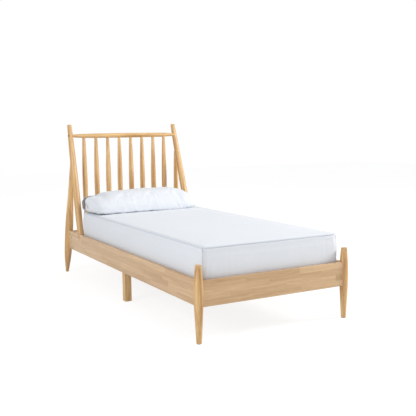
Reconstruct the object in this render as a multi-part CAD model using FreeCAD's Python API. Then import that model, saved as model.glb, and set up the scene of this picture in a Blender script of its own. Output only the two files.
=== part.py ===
import FreeCAD, Part
import math
import os

# Single spindle bed with its mattress and pillow, in millimetres.
# X runs across the bed, +Y from foot to head, +Z up. While it is being built, the foot
# posts stand on Y = 0 and the floor is Z = 0; shift_to_origin then puts the origin on the
# floor under the centre of the bed's box.

V = FreeCAD.Vector

# ---------------------------------------------------------------- mattress and pillow
MATTRESS_W = 915.0
MATTRESS_L = 1915.0
MATTRESS_H = 218.0
MATTRESS_CORNER_R = 55.0
MATTRESS_EDGE_R = 24.0
MATTRESS_SIDE_BULGE = 3.0
MATTRESS_CROWN = 8.0
MATTRESS_CROWN_W = 190.0
SHEET_T = 1.5
SHEET_TUCK = 110.0
PILLOW_W = 860.0
PILLOW_D = 350.0
PILLOW_H = 158.0
PILLOW_SIDE_SHIFT = -50.0
PILLOW_HEAD_INSET = 12.0
PILLOW_FLAT_SHARE = 0.62
PILLOW_SEAM_SHARE = 0.34
PILLOW_TRIM = 2.0
CASE_T = 1.2
CASE_MOUTH = 28.0
SOFT_GAP = 0.3

# ---------------------------------------------------------------- bed box
SIDE_GAP = 12.5
FOOT_GAP = 10.0
HEAD_SPACE = 212.0
RAIL_T = 24.0
RAIL_H = 143.0
RAIL_BOTTOM = 198.0
SIDE_RAIL_OUT = 3.5
FOOT_RAIL_OUT = 14.4
RAIL_ROUND = 2.0

# ---------------------------------------------------------------- foot posts
FOOT_POST_H = 424.6
FOOT_POST_R = 26.0
FOOT_POST_FLOOR_R = 15.0
FOOT_POST_TOP_R = 17.0
FOOT_POST_TOP_ROUND = 2.5
RAIL_END_GAP = 2.4
STUD_CLEARANCE = 1.0

# ---------------------------------------------------------------- headboard
TOP_RAIL_Z = 1091.0
TOP_RAIL_R = 19.0
TOP_RAIL_END_R = 10.0
TOP_RAIL_HOUSING = 14.0
POST_TAPER_TO_TOP_RAIL = 3.0
POST_TOP_Z = 1177.0
POST_TIP_Z = 250.0
POST_STRADDLE_Z = 320.0
POST_STRADDLE_IN = 5.0
POST_RUN = 238.0
POST_BEHIND_TOP_RAIL = 9.0
POST_LEAN_IN = 21.0
POST_R = 25.5
POST_TOP_R = 16.7
POST_TIP_R = 8.0
CHEEK_ABOVE_SLATS = 5.0
TONGUE_END_Z = 289.0
HEEL_L = 34.0
HEEL_T = 12.0
HEEL_BELOW_RAIL_TOP = 3.0
POST_TOP_ROUND = 3.0
SPINDLES = 8
SPINDLE_PITCH = 100.0
SPINDLE_R = 20.5
SPINDLE_END_R = 11.5
TENON_R = 7.0
TENON_L = 26.0
TOP_TENON_L = 14.0
TENON_GAP = 0.05
TENON_ROOT = 20.0
SPINDLE_BITE = 3.0

# ---------------------------------------------------------------- back legs
LEG_BEHIND_HEAD_RAIL = 49.0
LEG_MID_Z = 270.0
LEG_MID_IN = 4.0
LEG_TOP_Z = 950.0
LEG_TOP_IN = 34.0
LEG_TOP_FORWARD = 62.5
LEG_R = 31.4
LEG_FLOOR_R = 10.0
LEG_TOP_R = 11.0
LEG_CUT_BELOW_FLOOR = 20.0
LEG_HOUSING_BEFORE_AXIS = 9.0

# ---------------------------------------------------------------- middle support and slats
MIDDLE_LEG = 46.0
MIDDLE_LEG_SET_IN = 10.5
MIDDLE_LEG_Y = 1061.0
BEAM_T = 30.0
BEAM_H = 60.0
LEDGE_W = 22.0
LEDGE_H = 30.0
LEDGE_FROM_POST = 4.0
SLATS = 15
SLAT_W = 68.0
SLAT_T = 18.0
SLAT_TOP = 300.0
SLAT_END_GAP = 3.0
SLAT_FIRST = 60.0
GLIDE_R = 11.0
GLIDE_T = 3.0
BLOCK_W = 45.0
BLOCK_L = 60.0
BLOCK_SET_IN = 8.0

# ---------------------------------------------------------------- fasteners
BOLT_R = 4.0
BOLT_HEAD_R = 7.5
BOLT_HEAD_H = 3.0
BOLT_GAP = 0.05
POST_BOLT_R = 3.0
POST_BOLT_HEAD_R = 5.5
POST_BOLT_HEAD_H = 2.5
POST_BOLT_BEHIND_POST = 20.5
TOP_BOLT_L = 64.0
LEG_BOLT_REACH = 44.0
BARREL_REACH = 36.0
BLOCK_SCREW_GRIP = 18.0
CORNER_BOLT_GRIP = 32.0
SOCKET_R = 2.6
BARREL_R = 6.0
BARREL_L = 18.0
SCREW_R = 2.2
SCREW_HEAD_R = 4.2
SCREW_HEAD_H = 2.4
SCREW_POINT_L = 5.0
SCREW_POINT_R = 0.4
SLAT_SCREW_L = 34.0
LEDGE_SCREW_L = 40.0
LEDGE_SCREWS = 7
RAIL_SCREW_L = 50.0
RAIL_SCREW_SPREAD = 36.0
RAIL_SCREW_UP = 13.0
BEAM_SCREW_L = 65.0
LEG_TOP_SCREW_L = 46.0
LEG_TOP_SCREW_BELOW_TOP = 45.0
STUD_IN_POST = 24.0
POCKET_FROM_END = 46.0
STUD_PAST_POCKET_MIDDLE = 4.0
CRESCENT_R = 14.0
CRESCENT_T = 5.0
CRESCENT_GAP = 0.4
NUT_R = 7.2
NUT_H = 6.5

# ---------------------------------------------------------------- derived places
RAIL_TOP = RAIL_BOTTOM + RAIL_H
INNER_W = MATTRESS_W + 2 * SIDE_GAP
POST_X = INNER_W / 2 + RAIL_T - SIDE_RAIL_OUT
RAIL_MID_X = INNER_W / 2 + RAIL_T / 2
FOOT_INNER_Y = RAIL_T - FOOT_RAIL_OUT
MATTRESS_Y = FOOT_INNER_Y + FOOT_GAP
HEAD_RAIL_FRONT = MATTRESS_Y + MATTRESS_L + HEAD_SPACE
HEAD_Y = HEAD_RAIL_FRONT + RAIL_T / 2
LEG_Y = HEAD_Y + LEG_BEHIND_HEAD_RAIL
SIDE_RAIL_END = LEG_Y - LEG_HOUSING_BEFORE_AXIS
SIDE_RAIL_START = FOOT_INNER_Y + RAIL_END_GAP
FOOT_RAIL_REACH = RAIL_MID_X - BOLT_R - STUD_CLEARANCE
LEDGE_TOP = SLAT_TOP - SLAT_T
LEDGE_START = FOOT_POST_R + LEDGE_FROM_POST
MATTRESS_Z = SLAT_TOP + SOFT_GAP + SHEET_T + SOFT_GAP
PILLOW_LEFT = PILLOW_SIDE_SHIFT - PILLOW_W / 2
SHEET_TOP = MATTRESS_Z + MATTRESS_H + SOFT_GAP + SHEET_T
CRESCENT_DEPTH = RAIL_T / 2 + NUT_R + CRESCENT_GAP
CORNER_BOLT_Y = HEAD_RAIL_FRONT - BLOCK_L + 21.0
CORNER_BOLT_Z = (RAIL_BOTTOM + 19.0, RAIL_TOP - 46.0)
LEG_BOLT_Z = (RAIL_BOTTOM + 42.0, RAIL_TOP - 23.0)
BLOCK_SCREW_Z = (RAIL_BOTTOM + 40.0, RAIL_TOP - 24.0)
POST_BOLT_Z = RAIL_TOP - 26.0
SIDE_STUD_Z = (RAIL_BOTTOM + 38.0, RAIL_TOP - 31.0)
FOOT_STUD_Z = (RAIL_BOTTOM + 24.0, RAIL_TOP - 49.0)
SIDES = (("left", -1), ("right", 1))

parts = {}


def box(x0, x1, y0, y1, z0, z1):
    low = V(min(x0, x1), min(y0, y1), min(z0, z1))
    return Part.makeBox(abs(x1 - x0), abs(y1 - y0), abs(z1 - z0), low)


def rod(start, direction, length, radius):
    return Part.makeCylinder(radius, length, start, direction)


def ease_edges(solid, radius, along):
    """Round the long edges of a board, those that run along one axis."""
    edges = []
    for edge in solid.Edges:
        run = edge.Vertexes[-1].Point - edge.Vertexes[0].Point
        if abs(run.dot(along)) > 0.99 * run.Length:
            edges.append(edge)
    return solid.makeFillet(radius, edges)


def turned(base, tip, stations):
    """A round piece on the line from base to tip. Each station is a share of that line
    and the radius there, and a smooth outline joins them."""
    axis = tip - base
    length = axis.Length
    outline = Part.BSplineCurve()
    outline.interpolate([V(radius, 0, share * length) for share, radius in stations])
    curve = outline.toShape()
    first = V(stations[0][1], 0, 0)
    last = V(stations[-1][1], 0, length)
    lower = Part.LineSegment(V(0, 0, 0), first).toShape()
    upper = Part.LineSegment(last, V(0, 0, length)).toShape()
    centre = Part.LineSegment(V(0, 0, length), V(0, 0, 0)).toShape()
    face = Part.Face(Part.Wire([lower, curve, upper, centre]))
    solid = face.revolve(V(0, 0, 0), V(0, 0, 1), 360)
    if solid.ShapeType != "Solid":
        solid = Part.Solid(solid.Shells[0])
    solid.Placement = FreeCAD.Placement(base, FreeCAD.Rotation(V(0, 0, 1), axis))
    return solid


def top_rim(solid, above):
    """The round edge of a turned piece's top face, the only one wholly above a height."""
    return [edge for edge in solid.Edges if edge.BoundBox.ZMin > above and edge.BoundBox.XLength > 1]


def both_sides(name, solid):
    """The same piece on the right and, mirrored, on the left."""
    parts[name + "_right"] = solid
    parts[name + "_left"] = solid.mirror(V(0, 0, 0), V(1, 0, 0))


def bolt(head_seat, direction, length, head_r=BOLT_HEAD_R, head_h=BOLT_HEAD_H, shank_r=BOLT_R):
    """A pan-head bolt: its head's underside is at head_seat and its shank runs along
    direction. A hexagonal socket is sunk in the head."""
    back = direction * -1
    head = rod(head_seat, back, head_h, head_r)
    rim = []
    for edge in head.Edges:
        if abs((edge.CenterOfMass - head_seat).dot(back) - head_h) < 0.01:
            rim.append(edge)
    head = head.makeFillet(head_h * 0.4, rim)
    shank = rod(head_seat, direction, length, shank_r)
    corners = []
    side = V(0, 0, 1)
    other = direction.cross(side)
    for i in range(6):
        turn = math.radians(60 * i)
        corners.append(head_seat + back * head_h + side * (SOCKET_R * math.cos(turn))
                       + other * (SOCKET_R * math.sin(turn)))
    corners.append(corners[0])
    socket = Part.Face(Part.makePolygon(corners)).extrude(direction * (head_h * 0.8))
    return head.fuse(shank).removeSplitter().cut(socket)


def screw(head_top, direction, length):
    """A countersunk wood screw, its head flush at head_top."""
    cone = Part.makeCone(SCREW_HEAD_R, SCREW_R, SCREW_HEAD_H, head_top, direction)
    below_head = head_top + direction * SCREW_HEAD_H
    point_start = head_top + direction * (length - SCREW_POINT_L)
    shank = rod(below_head, direction, length - SCREW_HEAD_H - SCREW_POINT_L, SCREW_R)
    point = Part.makeCone(SCREW_R, SCREW_POINT_R, SCREW_POINT_L, point_start, direction)
    return cone.fuse([shank, point]).removeSplitter()


def sink(name, tools):
    """Cut clean holes for fasteners in a named piece."""
    parts[name] = parts[name].cut(tools)


def cut_for_bolt(names, head_seat, direction, length, counterbore=0.0):
    hole = rod(head_seat, direction, length, BOLT_R + BOLT_GAP)
    tools = [hole]
    if counterbore:
        tools.append(rod(head_seat, direction * -1, counterbore, BOLT_HEAD_R + 1.0))
    for name in names:
        sink(name, tools)


def cut_for_screw(names, head_top, direction, length):
    clearance = rod(head_top, direction, length, SCREW_R)
    cone = Part.makeCone(SCREW_HEAD_R, SCREW_R, SCREW_HEAD_H, head_top, direction)
    for name in names:
        sink(name, [clearance, cone])


# ---------------------------------------------------------------- rails
def make_rails():
    side = box(RAIL_MID_X - RAIL_T / 2, RAIL_MID_X + RAIL_T / 2,
               SIDE_RAIL_START, SIDE_RAIL_END, RAIL_BOTTOM, RAIL_TOP)
    both_sides("side_rail", ease_edges(side, RAIL_ROUND, V(0, 1, 0)))
    reach = FOOT_RAIL_REACH
    foot = box(-reach, reach, -FOOT_RAIL_OUT, FOOT_INNER_Y, RAIL_BOTTOM, RAIL_TOP)
    parts["foot_rail"] = ease_edges(foot, RAIL_ROUND, V(1, 0, 0))
    head = box(-INNER_W / 2, INNER_W / 2, HEAD_RAIL_FRONT, HEAD_RAIL_FRONT + RAIL_T,
               RAIL_BOTTOM, RAIL_TOP)
    parts["head_rail"] = ease_edges(head, RAIL_ROUND, V(1, 0, 0))


# ---------------------------------------------------------------- posts and legs
def make_foot_posts():
    stations = ((0.0, FOOT_POST_FLOOR_R), (0.28, 0.81 * FOOT_POST_R), (0.62, FOOT_POST_R),
                (0.86, 0.86 * FOOT_POST_R), (1.0, FOOT_POST_TOP_R))
    post = turned(V(POST_X, 0, GLIDE_T), V(POST_X, 0, FOOT_POST_H), stations)
    post = post.makeFillet(FOOT_POST_TOP_ROUND, top_rim(post, FOOT_POST_H - 1.0))
    post = post.cut([parts["side_rail_right"], parts["foot_rail"]])
    both_sides("foot_post", post)


def post_line(height):
    """Centre of the right headboard post at a height."""
    share = (height - POST_STRADDLE_Z) / (TOP_RAIL_Z - POST_STRADDLE_Z)
    x = RAIL_MID_X - POST_STRADDLE_IN - POST_LEAN_IN * share
    return V(x, HEAD_Y + POST_BEHIND_TOP_RAIL - POST_RUN * (1 - share), height)


def leg_line(height):
    """Centre of the right back leg at a height."""
    share = (height - LEG_MID_Z) / (LEG_TOP_Z - LEG_MID_Z)
    return V(POST_X - LEG_MID_IN - LEG_TOP_IN * share, LEG_Y - LEG_TOP_FORWARD * share, height)


def make_top_rail():
    """A slim cigar between the headboard posts, each end let into its post."""
    post = post_line(TOP_RAIL_Z)
    reach = post.x - POST_TOP_R - POST_TAPER_TO_TOP_RAIL + TOP_RAIL_HOUSING
    stations = ((0.0, TOP_RAIL_END_R), (0.09, 0.82 * TOP_RAIL_R), (0.25, 0.96 * TOP_RAIL_R),
                (0.5, TOP_RAIL_R), (0.75, 0.96 * TOP_RAIL_R), (0.91, 0.82 * TOP_RAIL_R),
                (1.0, TOP_RAIL_END_R))
    left_end = V(-reach, HEAD_Y, TOP_RAIL_Z)
    right_end = V(reach, HEAD_Y, TOP_RAIL_Z)
    parts["headboard_top_rail"] = turned(left_end, right_end, stations)


def make_headboard_posts():
    """Canted posts whose forked lower ends straddle the side rails."""
    stations = ((0.0, POST_TIP_R), (0.02, 0.52 * POST_R), (0.043, 0.67 * POST_R), (0.08, 0.82 * POST_R),
                (0.12, 0.89 * POST_R), (0.20, 0.96 * POST_R), (0.42, POST_R), (0.78, 0.875 * POST_R),
                (0.907, 0.785 * POST_R), (1.0, POST_TOP_R))
    post = turned(post_line(POST_TIP_Z), post_line(POST_TOP_Z), stations)
    post = post.makeFillet(POST_TOP_ROUND, top_rim(post, POST_TOP_Z - POST_TOP_R))
    heel_y = post_line(POST_BOLT_Z).y
    heel = box(INNER_W / 2 - HEEL_T, RAIL_MID_X, heel_y, heel_y + HEEL_L,
               SLAT_TOP, RAIL_TOP - HEEL_BELOW_RAIL_TOP)
    slot = box(RAIL_MID_X - RAIL_T / 2, RAIL_MID_X + RAIL_T / 2, 0, HEAD_Y, 0, RAIL_TOP)
    below_cheek = box(0, RAIL_MID_X, 0, HEAD_Y, 0, SLAT_TOP + CHEEK_ABOVE_SLATS)
    below_tongue = box(RAIL_MID_X, RAIL_MID_X + 2 * RAIL_T, 0, HEAD_Y, 0, TONGUE_END_Z)
    post = post.fuse(heel).cut([slot, below_cheek, below_tongue, parts["headboard_top_rail"]])
    both_sides("headboard_post", post)


def make_back_legs():
    """Splayed legs that take the corner of the frame and rise to the headboard posts."""
    top = leg_line(LEG_TOP_Z)
    base = leg_line(-LEG_CUT_BELOW_FLOOR)
    stations = ((0.0, LEG_FLOOR_R), (0.072, 0.557 * LEG_R), (0.144, 0.815 * LEG_R), (0.196, 0.91 * LEG_R),
                (0.33, LEG_R), (0.464, 0.955 * LEG_R), (0.598, 0.78 * LEG_R), (0.72, 0.62 * LEG_R),
                (0.845, 0.535 * LEG_R), (1.0, LEG_TOP_R))
    leg = turned(base, top, stations)
    floor = box(0, 2 * POST_X, HEAD_Y - 200, HEAD_Y + 300, -60, GLIDE_T)
    housing = box(RAIL_MID_X - RAIL_T / 2, RAIL_MID_X + RAIL_T / 2, 0, SIDE_RAIL_END,
                  RAIL_BOTTOM, RAIL_TOP)
    leg = leg.cut([floor, housing, parts["head_rail"], parts["headboard_post_right"]])
    both_sides("back_leg", max(leg.Solids, key=lambda solid: solid.Volume))


# ---------------------------------------------------------------- spindles
def spindle_places():
    return [(i - (SPINDLES - 1) / 2) * SPINDLE_PITCH for i in range(SPINDLES)]


def top_rail_seat(x):
    """How far the top rail's underside is below its centre, at x across the bed."""
    probe = rod(V(x, HEAD_Y, TOP_RAIL_Z - 2 * TOP_RAIL_R), V(0, 0, 1), 2 * TOP_RAIL_R, 0.5)
    return TOP_RAIL_Z - probe.common(parts["headboard_top_rail"]).BoundBox.ZMin


def make_spindles():
    """Turned spindles, round-tenoned into the head rail and the top rail."""
    for number, x in enumerate(spindle_places(), 1):
        body_top = TOP_RAIL_Z - top_rail_seat(x) + SPINDLE_BITE
        stations = ((0.0, SPINDLE_END_R), (0.22, 0.82 * SPINDLE_R), (0.5, SPINDLE_R),
                    (0.78, 0.82 * SPINDLE_R), (1.0, SPINDLE_END_R))
        body = turned(V(x, HEAD_Y, RAIL_TOP), V(x, HEAD_Y, body_top), stations)
        body = body.cut(parts["headboard_top_rail"])
        low_base = V(x, HEAD_Y, RAIL_TOP - TENON_L)
        high_base = V(x, HEAD_Y, body_top - TENON_ROOT)
        high_reach = TENON_ROOT + TOP_TENON_L
        low_tenon = rod(low_base, V(0, 0, 1), TENON_L + 1, TENON_R)
        high_tenon = rod(high_base, V(0, 0, 1), high_reach, TENON_R)
        low_hole = rod(low_base, V(0, 0, 1), TENON_L + 1, TENON_R + TENON_GAP)
        high_hole = rod(high_base, V(0, 0, 1), high_reach, TENON_R + TENON_GAP)
        parts["spindle_%d" % number] = body.fuse([low_tenon, high_tenon]).removeSplitter()
        sink("head_rail", [low_hole])
        sink("headboard_top_rail", [high_hole])


# ---------------------------------------------------------------- middle support, ledges, slats
def make_middle_support():
    outer = RAIL_MID_X + RAIL_T / 2 - MIDDLE_LEG_SET_IN
    leg = box(outer - MIDDLE_LEG, outer, MIDDLE_LEG_Y - MIDDLE_LEG / 2, MIDDLE_LEG_Y + MIDDLE_LEG / 2,
              GLIDE_T, LEDGE_TOP - LEDGE_H)
    leg = ease_edges(leg, RAIL_ROUND, V(0, 0, 1))
    rail_seat = box(INNER_W / 2, POST_X + RAIL_T, MIDDLE_LEG_Y - MIDDLE_LEG, MIDDLE_LEG_Y + MIDDLE_LEG,
                    RAIL_BOTTOM, RAIL_TOP)
    both_sides("middle_leg", leg.cut(rail_seat))
    reach = outer - MIDDLE_LEG
    beam = box(-reach, reach, MIDDLE_LEG_Y - BEAM_T / 2, MIDDLE_LEG_Y + BEAM_T / 2,
               LEDGE_TOP - BEAM_H, LEDGE_TOP)
    parts["cross_beam"] = ease_edges(beam, RAIL_ROUND, V(1, 0, 0))


def make_ledges_and_blocks():
    ledge_end = HEAD_RAIL_FRONT - BLOCK_L
    ledge = box(INNER_W / 2 - LEDGE_W, INNER_W / 2, LEDGE_START, ledge_end,
                LEDGE_TOP - LEDGE_H, LEDGE_TOP)
    both_sides("slat_ledge", ledge)
    block = box(INNER_W / 2 - BLOCK_W, INNER_W / 2, ledge_end, HEAD_RAIL_FRONT,
                RAIL_BOTTOM + BLOCK_SET_IN, RAIL_TOP - BLOCK_SET_IN)
    both_sides("corner_block", block)


def slat_places():
    first = FOOT_INNER_Y + SLAT_FIRST
    last = HEAD_RAIL_FRONT - BLOCK_L - SLAT_W / 2 - SLAT_END_GAP
    step = (last - first) / (SLATS - 1)
    return [first + i * step for i in range(SLATS)]


def make_slats():
    reach = INNER_W / 2 - SLAT_END_GAP
    screws = []
    for number, y in enumerate(slat_places(), 1):
        slat = box(-reach, reach, y - SLAT_W / 2, y + SLAT_W / 2, LEDGE_TOP, SLAT_TOP)
        name = "slat_%d" % number
        parts[name] = ease_edges(slat, RAIL_ROUND, V(1, 0, 0))
        for side, sign in SIDES:
            head_top = V(sign * (INNER_W / 2 - LEDGE_W / 2), y, SLAT_TOP)
            screws.append(screw(head_top, V(0, 0, -1), SLAT_SCREW_L))
            cut_for_screw([name, "slat_ledge_" + side], head_top, V(0, 0, -1), SLAT_SCREW_L)
    parts["slat_screws"] = Part.makeCompound(screws)


def make_ledge_screws():
    screws = []
    run = HEAD_RAIL_FRONT - BLOCK_L - LEDGE_START
    for side, sign in SIDES:
        outward = V(sign, 0, 0)
        for i in range(LEDGE_SCREWS):
            y = LEDGE_START + run * (i + 0.42) / LEDGE_SCREWS
            head_top = V(sign * (INNER_W / 2 - LEDGE_W), y, LEDGE_TOP - LEDGE_H * 0.7)
            screws.append(screw(head_top, outward, LEDGE_SCREW_L))
            cut_for_screw(["slat_ledge_" + side, "side_rail_" + side], head_top, outward, LEDGE_SCREW_L)
    parts["ledge_screws"] = Part.makeCompound(screws)


def make_middle_screws():
    """Screws through each middle leg into its rail, and through the leg into the beam."""
    screws = []
    outer = RAIL_MID_X + RAIL_T / 2 - MIDDLE_LEG_SET_IN
    for side, sign in SIDES:
        outward = V(sign, 0, 0)
        for dy in (-RAIL_SCREW_SPREAD / 2, RAIL_SCREW_SPREAD / 2):
            head_top = V(sign * (outer - MIDDLE_LEG), MIDDLE_LEG_Y + dy, RAIL_BOTTOM + RAIL_SCREW_UP)
            screws.append(screw(head_top, outward, RAIL_SCREW_L))
            cut_for_screw(["middle_leg_" + side, "side_rail_" + side], head_top, outward, RAIL_SCREW_L)
        head_top = V(sign * INNER_W / 2, MIDDLE_LEG_Y, LEDGE_TOP - BEAM_H * 0.75)
        screws.append(screw(head_top, outward * -1, BEAM_SCREW_L))
        cut_for_screw(["middle_leg_" + side, "cross_beam"], head_top, outward * -1, BEAM_SCREW_L)
    parts["middle_leg_screws"] = Part.makeCompound(screws)


# ---------------------------------------------------------------- bolts at the head
def make_head_bolts():
    corner = []
    leg_bolts = []
    barrels = []
    post_bolts = []
    top_bolts = []
    block_screws = []
    for side, sign in SIDES:
        inward = V(-sign, 0, 0)
        face_x = sign * (RAIL_MID_X + RAIL_T / 2)
        for z in CORNER_BOLT_Z:
            seat = V(face_x, CORNER_BOLT_Y, z)
            length = RAIL_T + CORNER_BOLT_GRIP
            corner.append(bolt(seat, inward, length))
            cut_for_bolt(["side_rail_" + side, "corner_block_" + side], seat, inward, length)
        for z in LEG_BOLT_Z:
            centre = leg_line(z)
            seat = V(sign * RAIL_MID_X, centre.y + 0.55 * LEG_R, z)
            length = seat.y - (SIDE_RAIL_END - LEG_BOLT_REACH)
            leg_bolts.append(bolt(seat, V(0, -1, 0), length))
            cut_for_bolt(["back_leg_" + side, "side_rail_" + side], seat, V(0, -1, 0), length, LEG_R)
            hub = V(sign * INNER_W / 2, SIDE_RAIL_END - BARREL_REACH, z)
            barrel = rod(hub, V(sign, 0, 0), BARREL_L, BARREL_R)
            through = rod(seat, V(0, -1, 0), length, BOLT_R + BOLT_GAP)
            barrels.append(barrel.cut(through))
            sink("side_rail_" + side, [rod(hub, V(sign, 0, 0), BARREL_L, BARREL_R + BOLT_GAP)])
        for z in BLOCK_SCREW_Z:
            head_top = V(sign * (INNER_W / 2 - BLOCK_W / 2), HEAD_RAIL_FRONT - BLOCK_L, z)
            length = BLOCK_L + BLOCK_SCREW_GRIP
            block_screws.append(screw(head_top, V(0, 1, 0), length))
            cut_for_screw(["corner_block_" + side, "head_rail"], head_top, V(0, 1, 0), length)
        seat = V(face_x, post_line(POST_BOLT_Z).y + POST_BOLT_BEHIND_POST, POST_BOLT_Z)
        length = RAIL_T + HEEL_T
        post_bolts.append(bolt(seat, inward, length, POST_BOLT_HEAD_R, POST_BOLT_HEAD_H, POST_BOLT_R))
        hole = rod(seat, inward, length, POST_BOLT_R + BOLT_GAP)
        sink("headboard_post_" + side, [hole])
        sink("side_rail_" + side, [hole])
        seat = V(sign * (post_line(TOP_RAIL_Z).x + 0.55 * POST_TOP_R), HEAD_Y, TOP_RAIL_Z)
        top_bolts.append(bolt(seat, inward, TOP_BOLT_L))
        cut_for_bolt(["headboard_post_" + side, "headboard_top_rail"], seat, inward, TOP_BOLT_L, POST_R)
    parts["corner_bolts"] = Part.makeCompound(corner)
    parts["back_leg_bolts"] = Part.makeCompound(leg_bolts)
    parts["barrel_nuts"] = Part.makeCompound(barrels)
    parts["corner_block_screws"] = Part.makeCompound(block_screws)
    parts["headboard_post_bolts"] = Part.makeCompound(post_bolts)
    parts["top_rail_bolts"] = Part.makeCompound(top_bolts)


def make_leg_top_screws():
    """One screw from behind holds each back leg's top to its headboard post."""
    screws = []
    height = LEG_TOP_Z - LEG_TOP_SCREW_BELOW_TOP
    for side, sign in SIDES:
        leg = leg_line(height)
        post = post_line(height)
        aim = V(post.x - leg.x, post.y - leg.y, 0)
        aim.normalize()
        head_top = V(leg.x, leg.y, height) - aim * (LEG_TOP_R * 0.75)
        head_top.x = head_top.x * sign
        aim.x = aim.x * sign
        screws.append(screw(head_top, aim, LEG_TOP_SCREW_L))
        cut_for_screw(["back_leg_" + side, "headboard_post_" + side], head_top, aim, LEG_TOP_SCREW_L)
        sink("back_leg_" + side, [rod(head_top, aim * -1, 20.0, SCREW_HEAD_R)])
    parts["leg_top_screws"] = Part.makeCompound(screws)


# ---------------------------------------------------------------- bolts at the foot
def hexagon_nut(centre, direction, thickness):
    corners = []
    side = V(0, 0, 1)
    other = direction.cross(side)
    for i in range(7):
        turn = math.radians(60 * i)
        corners.append(centre + side * (NUT_R * math.cos(turn)) + other * (NUT_R * math.sin(turn)))
    return Part.Face(Part.makePolygon(corners)).extrude(direction * thickness)


def rail_joint(rail, post, end, direction, inward, studs, washers, nuts):
    """A stud in the post reaches into a round pocket in the rail's inner face, where a
    crescent washer and a nut hold it. end is the rail's end at its mid thickness."""
    stud_start = end - direction * STUD_IN_POST
    pocket_centre = end + direction * POCKET_FROM_END
    stud_length = STUD_IN_POST + POCKET_FROM_END + STUD_PAST_POCKET_MIDDLE
    studs.append(rod(stud_start, direction, stud_length, BOLT_R))
    hole = rod(stud_start, direction, stud_length, BOLT_R + BOLT_GAP)
    sink(post, [hole])
    face = pocket_centre + inward * (RAIL_T / 2)
    pocket = rod(face, inward * -1, CRESCENT_DEPTH, CRESCENT_R)
    sink(rail, [hole, pocket])
    flat = pocket_centre - direction * (CRESCENT_R - CRESCENT_T)
    keep = Part.makeBox(60, 60, 60, V(-30, -30, -60))
    keep.Placement = FreeCAD.Placement(flat, FreeCAD.Rotation(V(0, 0, 1), direction))
    disc = rod(face + inward * -1.0, inward * -1, CRESCENT_DEPTH - 1.5, CRESCENT_R - 0.2)
    bore = rod(stud_start, direction, stud_length, BOLT_R + BOLT_GAP)
    washers.append(disc.common(keep).cut(bore))
    nuts.append(hexagon_nut(flat, direction, NUT_H).cut(bore))


def make_foot_joints():
    studs = []
    washers = []
    nuts = []
    for side, sign in SIDES:
        for z in SIDE_STUD_Z:
            end = V(sign * RAIL_MID_X, SIDE_RAIL_START, z)
            rail_joint("side_rail_" + side, "foot_post_" + side, end, V(0, 1, 0), V(-sign, 0, 0),
                       studs, washers, nuts)
        for z in FOOT_STUD_Z:
            end = V(sign * FOOT_RAIL_REACH, FOOT_INNER_Y - RAIL_T / 2, z)
            rail_joint("foot_rail", "foot_post_" + side, end, V(-sign, 0, 0), V(0, 1, 0),
                       studs, washers, nuts)
    parts["foot_rail_studs"] = Part.makeCompound(studs)
    parts["crescent_washers"] = Part.makeCompound(washers)
    parts["stud_nuts"] = Part.makeCompound(nuts)


# ---------------------------------------------------------------- feet
def make_glides():
    feet = (V(POST_X, 0, 0), V(leg_line(0).x, leg_line(0).y, 0),
            V(RAIL_MID_X + RAIL_T / 2 - MIDDLE_LEG_SET_IN - MIDDLE_LEG / 2, MIDDLE_LEG_Y, 0))
    glides = []
    for foot in feet:
        for sign in (-1, 1):
            glides.append(rod(V(sign * foot.x, foot.y, 0), V(0, 0, 1), GLIDE_T, GLIDE_R))
    parts["foot_glides"] = Part.makeCompound(glides)


# ---------------------------------------------------------------- soft pieces
def rounded_outline(half_w, half_l, corner, centre_y, z):
    """A rectangle with round corners, as one level of the mattress."""
    edges = []
    points = []
    for sx, sy in ((1, 1), (-1, 1), (-1, -1), (1, -1)):
        cx = sx * (half_w - corner)
        cy = centre_y + sy * (half_l - corner)
        start = V(sx * half_w, cy, z)
        end = V(cx, centre_y + sy * half_l, z)
        middle = V(cx + sx * corner * math.sqrt(0.5), cy + sy * corner * math.sqrt(0.5), z)
        if sx * sy < 0:
            start, end = end, start
        points.append((start, middle, end))
    for i, (start, middle, end) in enumerate(points):
        edges.append(Part.Arc(start, middle, end).toShape())
        following = points[(i + 1) % 4][0]
        edges.append(Part.LineSegment(end, following).toShape())
    return Part.Wire(edges)


def mattress_levels():
    """Heights above the mattress's underside, each with how far the outline is drawn in:
    a rolled bottom edge, sides that bulge a little, a rolled top edge and a low crown."""
    edge = MATTRESS_EDGE_R
    drawn_in = MATTRESS_SIDE_BULGE + edge
    shoulder = MATTRESS_H - MATTRESS_CROWN - edge
    levels = []
    for turn in (0, 30, 60, 90):
        angle = math.radians(turn)
        levels.append((edge * (1 - math.cos(angle)), drawn_in - edge * math.sin(angle)))
    levels.append((MATTRESS_H * 0.45, 0.0))
    for turn in (0, 30, 60, 90):
        angle = math.radians(turn)
        levels.append((shoulder + edge * math.sin(angle), drawn_in - edge * math.cos(angle)))
    for step in range(1, 5):
        share = step / 4
        rise = MATTRESS_CROWN * (1 - (1 - share) ** 2)
        levels.append((MATTRESS_H - MATTRESS_CROWN + rise, drawn_in + MATTRESS_CROWN_W * share))
    return levels


def mattress_form(grow):
    """The mattress, or the same form grown evenly outwards for the sheet over it."""
    outlines = []
    centre_y = MATTRESS_Y + MATTRESS_L / 2
    stretch = (MATTRESS_H + 2 * grow) / MATTRESS_H
    for height, inset in mattress_levels():
        half_w = MATTRESS_W / 2 - inset + grow
        half_l = MATTRESS_L / 2 - inset + grow
        z = MATTRESS_Z - grow + height * stretch
        outlines.append(rounded_outline(half_w, half_l, MATTRESS_CORNER_R, centre_y, z))
    return Part.makeLoft(outlines, True, True)


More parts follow.
